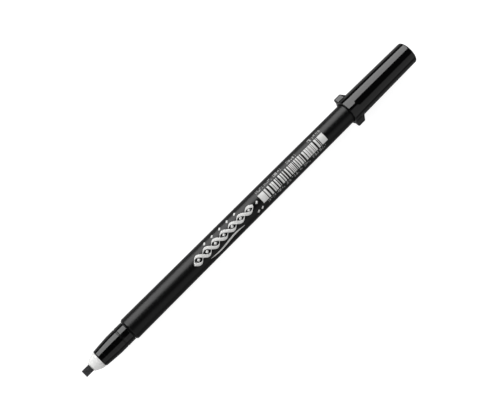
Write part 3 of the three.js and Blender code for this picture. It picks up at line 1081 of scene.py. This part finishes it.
def broad_stroke_tree():
    """Each curve becomes the stroke of a broad nib held at an angle, thin along it and thick across."""
    stroke_inputs = [(label, "Float") for label in ("Nib width", "Nib angle", "Hairline")]
    tree, given, calc = geometry_tree("Broad nib strokes", stroke_inputs + WRAP_INPUTS)
    way = add(tree, "GeometryNodeInputTangent").outputs[0]
    x, y, _ = add(tree, "ShaderNodeSeparateXYZ", {"Vector": way}).outputs
    rise = calc("MULTIPLY", x, calc("SINE", given["Nib angle"]))
    run = calc("MULTIPLY", y, calc("COSINE", given["Nib angle"]))
    thick = calc("MULTIPLY", calc("ABSOLUTE", calc("SUBTRACT", rise, run)), given["Nib width"])
    weight = add(tree, "GeometryNodeInputRadius").outputs[0]
    width = calc("MULTIPLY", calc("ADD", thick, given["Hairline"]), weight)
    level = add(tree, "GeometryNodeSetCurveNormal", {"Curve": given["Geometry"]}, mode="Z_UP")
    profile = add(tree, "GeometryNodeCurvePrimitiveLine", {"Start": (-1, 0, 0), "End": (1, 0, 0)})
    across = add(tree, "GeometryNodeResampleCurve", {"Curve": profile.outputs["Curve"], "Count": 5})
    flat = add(tree, "GeometryNodeCurveToMesh", {
        "Curve": level.outputs["Curve"],
        "Profile Curve": across.outputs["Curve"],
        "Scale": calc("MULTIPLY", width, 0.5),
    }).outputs["Mesh"]
    layer_and_wrap(tree, flat, given, calc)
    return tree


def printed(name, source, tree, values, material):
    """Runs a print tree on an object and keeps the result as a plain mesh riding on the pen."""
    wrap = {
        "Ink height": sizes().ink_height,
        "Radius": BARREL_RADIUS * MM,
        "Taper": TAPER,
        "Taper start": SHOULDER * MM,
        "Axis height": AXIS_Z * MM,
        "Material": material,
    }
    modifier = source.modifiers.new("print", "NODES")
    modifier.node_group = tree
    for item in tree.interface.items_tree:
        if item.in_out == "INPUT" and item.name != "Geometry":
            modifier[item.identifier] = {**wrap, **values}[item.name]
    mesh = evaluated_mesh(source)
    bpy.data.objects.remove(source)
    if not mesh.polygons:
        raise RuntimeError(f"{name} came out empty")
    outwards(mesh)
    settle(in_scene(name, mesh), "pen", "white_ink", material)


def flat_seed(name):
    """An empty mesh object for a tree that makes its own geometry."""
    return in_scene(name, bpy.data.meshes.new(name))


def flat_curves(name, strokes):
    """A curve object of flat strokes, each a list of (x, y, weight) in millimetres."""
    curve = bpy.data.curves.new(name, "CURVE")
    curve.dimensions = "3D"
    for stroke in strokes:
        spline = curve.splines.new("POLY")
        spline.points.add(len(stroke) - 1)
        for point, (x, y, weight) in zip(spline.points, stroke):
            point.co = (x * MM, y * MM, 0, 1)
            point.radius = weight
    return in_scene(name, curve)


class MARKER_OT_bars(bpy.types.Operator):
    """Print the bar panel and the rows of dashes, which encode and spell nothing"""

    bl_idname = "marker.bars"
    bl_label = "Printed panel"

    def execute(self, context):
        size = sizes()
        tree = printed_columns_tree()
        panel = {
            "Columns": size.bar_count,
            "Rows": 4,
            "Start": 3.3 * MM,
            "Length": 29.5 * MM,
            "Top": -1.35 * MM,
            "Height": 3.2 * MM,
            "End block": 2.35 * MM,
            "Printed share": 1.0,
            "Word": 1000,
            "Seed": size.print_seed,
        }
        bold = made_once("pad_print", print_ink, colours().marks)
        thin = made_once("pad_print_thin", print_ink, colours().small_marks)
        printed("bar_panel", flat_seed("bar_panel_seed"), tree, panel, bold)
        rows = [
            ("dashes_upper_front", 3.6, 11.2, -3.0, 1.0),
            ("dashes_upper_middle", 17.5, 4.1, -3.0, 1.05),
            ("dashes_upper_rear", 27.4, 5.5, -3.0, 1.05),
            ("dashes_lower", 4.9, 26.3, 2.2, 0.95),
        ]
        for number, (name, start, length, top, height) in enumerate(rows):
            row = {
                "Columns": 2 * round(length / 0.5) + 1,
                "Rows": 3,
                "Start": start * MM,
                "Length": length * MM,
                "Top": top * MM,
                "Height": height * MM,
                "End block": 0.15 * MM,
                "Printed share": 0.66,
                "Word": 16,
                "Seed": size.print_seed + 10 * (number + 1),
            }
            printed(name, flat_seed(name + "_seed"), tree, row, thin)
        return {"FINISHED"}


class MARKER_OT_ornament(bpy.types.Operator):
    """Print the broad-nib ornament: two crossing waves, rows of lozenges and an underline"""

    bl_idname = "marker.ornament"
    bl_label = "Printed ornament"

    def execute(self, context):
        start, end = -26.2, 0.0
        swings = 3.5
        points = 220
        strokes = []
        for side in (-1, 1):
            wave = []
            for i in range(points + 1):
                share = i / points
                swing = 1.35 * (1 - 0.3 * share)
                y = side * swing * math.sin(math.tau * swings * share) - 0.05
                wave.append((start + (end - start) * share, y, 1))
            strokes.append(wave)
        eye = (end - start) / (2 * swings)
        for i in range(round(2 * swings)):
            middle = start + eye * (i + 0.5)
            strokes.append([(middle - 0.22, -0.4, 0.8), (middle + 0.22, 0.3, 0.8)])
        above = [(-19.6 + 3.35 * i, -2.9) for i in range(5)]
        behind = [(0.2, 2.4), (1.9, 2.4), (1.5, -0.3)]
        strokes += [[(x, y, 0.9), (x + 0.38, y + 0.5, 0.9)] for x, y in above + behind]
        underline = []
        for i in range(81):
            share = i / 80
            y = 2.6 + 0.35 * math.sin(math.tau * share)
            underline.append((-21 + 15 * share, y, 0.9 * math.sin(math.pi * share) + 0.1))
        strokes.append(underline)
        values = {
            "Nib width": sizes().stroke_width,
            "Nib angle": math.radians(-40),
            "Hairline": 0.14 * MM,
        }
        bold = made_once("pad_print", print_ink, colours().marks)
        printed("ornament", flat_curves("ornament_strokes", strokes), broad_stroke_tree(), values, bold)
        return {"FINISHED"}


# ---- Stage ----


def softbox(name, centre, width, height, radiance, in_gloss=True):
    """A rectangular light aimed at the origin, in metres; it can stay out of gloss reflections."""
    light = bpy.data.lights.new(name, "AREA")
    light.shape = "RECTANGLE"
    light.size = width
    light.size_y = height
    light.energy = radiance * math.pi * width * height
    lamp = in_scene(name, light)
    lamp.location = centre
    lamp.rotation_euler = (Vector() - Vector(centre)).to_track_quat("-Z", "Y").to_euler()
    lamp.visible_glossy = in_gloss


def sheet(name, rectangle, height, material):
    """A level sheet of the stage; its left, front, right and back and its height are in metres."""
    left, front, right, back = [side / MM for side in rectangle]
    level = height / MM
    corners = [(left, front, level), (right, front, level), (right, back, level), (left, back, level)]
    made = finished_mesh(name, corners, [[0, 1, 2, 3]])
    coat(made, material)
    return made


def glow_panel(name, rectangle, height, radiance):
    """A plain glowing sheet under the floor, in metres, that only the gloss of the pen shows."""
    material = bpy.data.materials.new(name)
    material.use_nodes = True
    tree = material.node_tree
    tree.nodes.clear()
    glow = add(tree, "ShaderNodeEmission", {"Strength": radiance}).outputs[0]
    add(tree, "ShaderNodeOutputMaterial", {"Surface": glow})
    material.cycles.emission_sampling = "NONE"
    sheet(name, rectangle, height, material)


class MARKER_OT_stage(bpy.types.Operator):
    """Lay the pale floor, place the soft lights and set the camera"""

    bl_idname = "marker.stage"
    bl_label = "Stage"

    def execute(self, context):
        scene = context.scene
        stage = scene.marker_stage
        floor = sheet("floor", (-2, -2, 2, 2), 0, floor_paper(stage.floor, stage.glow))
        floor.visible_glossy = False
        glow_panel("near_glow", (-1.5, 0, 1.5, 0.8), -0.3, 0.4)
        glow_panel("far_glow", (-1.5, -2, 1.5, 0), -0.3, 0.2)
        softbox("side_box", (0.08, 0.5, 0.33), 0.62, 0.62, 4.6)
        softbox("far_reflector", (0, -0.55, 0.34), 1.2, 0.7, 0.5)
        softbox("nib_end_box", (-0.9, 0, 0.6), 0.8, 0.5, 7.0, in_gloss=False)
        softbox("nib_end_glint", (-0.9, 0, 0.6), 0.8, 0.5, 0.7)
        softbox("cap_end_box", (0.95, 0, 0.6), 0.8, 0.5, 3.0, in_gloss=False)
        world = bpy.data.worlds.new("studio")
        world.use_nodes = True
        sky = world.node_tree.nodes["Background"]
        fill(world.node_tree, sky, {"Color": (1, 1, 1, 1), "Strength": 0.02})
        scene.world = world
        scene.view_settings.view_transform = "Standard"
        self.place_camera(scene, stage)
        return {"FINISHED"}

    def place_camera(self, scene, stage):
        """Sets the camera above the pen, leaning towards the nib, with the axis rolled in the picture."""
        view = Vector((math.sin(stage.tilt), 0, -math.cos(stage.tilt)))
        along = Vector((math.cos(stage.tilt), 0, math.sin(stage.tilt)))
        side = Vector((0, 1, 0))
        right = math.cos(stage.roll) * along - math.sin(stage.roll) * side
        up = math.sin(stage.roll) * along + math.cos(stage.roll) * side
        aim = Vector((-0.95, -0.16, AXIS_Z)) * MM
        camera = in_scene("camera", bpy.data.cameras.new("camera"))
        camera.data.lens = stage.lens
        camera.data.sensor_width = 36
        camera.data.clip_start = 0.01
        turn = Matrix((right, up, -view)).transposed().to_4x4()
        camera.matrix_world = Matrix.Translation(aim - view * stage.distance) @ turn
        scene.camera = camera


# ---- Add-on ----

STEPS = (
    MARKER_OT_stage,
    MARKER_OT_barrel,
    MARKER_OT_tail_plug,
    MARKER_OT_front,
    MARKER_OT_nib_holder,
    MARKER_OT_nib,
    MARKER_OT_core,
    MARKER_OT_cap,
    MARKER_OT_inner_cap,
    MARKER_OT_bars,
    MARKER_OT_ornament,
)


class MARKER_PT_panel(bpy.types.Panel):
    """Lists the marker's pieces and settings"""

    bl_label = "Calligraphy marker"
    bl_idname = "MARKER_PT_panel"
    bl_space_type = "VIEW_3D"
    bl_region_type = "UI"
    bl_category = "Marker"

    def draw(self, context):
        for step in STEPS:
            self.layout.operator(step.bl_idname)
        for group in (context.scene.marker_sizes, context.scene.marker_colours, context.scene.marker_stage):
            box = self.layout.box()
            for key in group.bl_rna.properties.keys():
                if key not in ("name", "rna_type"):
                    box.prop(group, key)


GROUPS = (MarkerSizes, MarkerColours, MarkerStage)


def register():
    for one in (*GROUPS, *STEPS, MARKER_PT_panel):
        bpy.utils.register_class(one)
    bpy.types.Scene.marker_sizes = PointerProperty(type=MarkerSizes)
    bpy.types.Scene.marker_colours = PointerProperty(type=MarkerColours)
    bpy.types.Scene.marker_stage = PointerProperty(type=MarkerStage)


def unregister():
    del bpy.types.Scene.marker_stage
    del bpy.types.Scene.marker_colours
    del bpy.types.Scene.marker_sizes
    for one in reversed((*GROUPS, *STEPS, MARKER_PT_panel)):
        bpy.utils.unregister_class(one)


def main():
    """Builds everything."""
    register()
    for step in STEPS:
        area, action = step.bl_idname.split(".")
        getattr(getattr(bpy.ops, area), action)()


if __name__ == "__main__":
    main()
